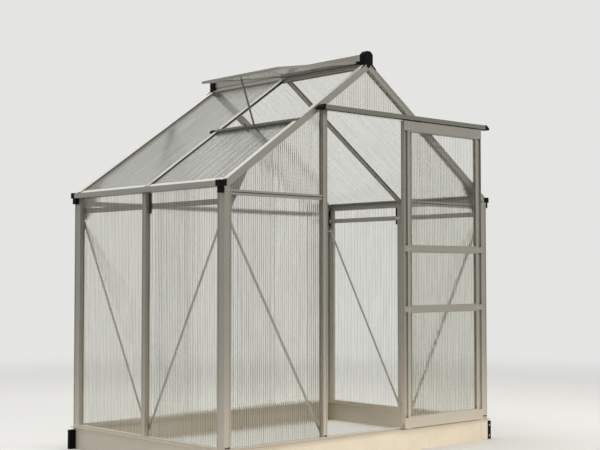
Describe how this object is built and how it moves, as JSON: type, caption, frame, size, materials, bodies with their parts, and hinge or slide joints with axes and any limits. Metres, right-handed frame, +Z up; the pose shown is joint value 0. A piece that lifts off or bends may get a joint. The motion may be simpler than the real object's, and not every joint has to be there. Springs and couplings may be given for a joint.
{
  "type": "polycarbonate greenhouse",
  "caption": "Small walk-in greenhouse with a pitched roof: aluminium frame on a metal base, clear twin-wall sheets, a sliding gable door and a roof vent held open.",
  "frame": {"origin": "middle of the footprint at ground level", "axes": "+Z up, +X along the door gable to the right seen from outside the door, +Y from the door gable to the back"},
  "size_m": [1.937, 1.304, 2.0355],
  "materials": {
    "frame_aluminium": "satin mill aluminium extrusions",
    "base_metal": "pale galvanised sheet, matt",
    "bracing_metal": "dull plated flat bar and plate",
    "black_plastic": "moulded black plastic",
    "roller_nylon": "dark nylon rollers on plain plates",
    "polycarbonate": "clear twin-wall polycarbonate with fine vertical flutes"
  },
  "bodies": {
    "frame": {"base_back": "base_metal", "base_corner_covers": "base_metal", "base_corner_ears": "black_plastic", "base_front": "base_metal", "base_left": "base_metal", "base_right": "base_metal", "corner_posts": "frame_aluminium", "door_guide": "bracing_metal", "door_track": "frame_aluminium", "eave_end_caps": "black_plastic", "eave_rails": "frame_aluminium", "gable_bars_back": "frame_aluminium", "gable_bars_front": "frame_aluminium", "gable_braces": "bracing_metal", "gable_rafters": "frame_aluminium", "gable_sheets_back": "polycarbonate", "gable_sheets_front": "polycarbonate", "gable_studs_back": "frame_aluminium", "gable_studs_front": "frame_aluminium", "gusset_plates": "bracing_metal", "middle_rafters": "frame_aluminium", "ridge_beam": "frame_aluminium", "ridge_end_caps": "black_plastic", "roof_sheets_left": "polycarbonate", "roof_sheets_right": "polycarbonate", "side_braces": "bracing_metal", "side_studs": "frame_aluminium", "sill_back": "frame_aluminium", "sill_front": "frame_aluminium", "sill_left": "frame_aluminium", "sill_right": "frame_aluminium", "tie_bars": "frame_aluminium", "track_end_caps": "black_plastic", "vent_bar": "frame_aluminium", "vent_frame": "frame_aluminium", "vent_sheet": "polycarbonate", "vent_stay": "bracing_metal", "wall_sheets_back": "polycarbonate", "wall_sheets_front": "polycarbonate", "wall_sheets_left": "polycarbonate", "wall_sheets_right": "polycarbonate"},
    "door": {"door_hangers": "roller_nylon", "door_rails": "frame_aluminium", "door_sheets": "polycarbonate", "door_stiles": "frame_aluminium"}
  },
  "joints": [
    {"name": "door_slide", "type": "slide", "parent": "frame", "child": "door", "axis": [-1, 0, 0], "range_m": [0, 0.543]}
  ]
}
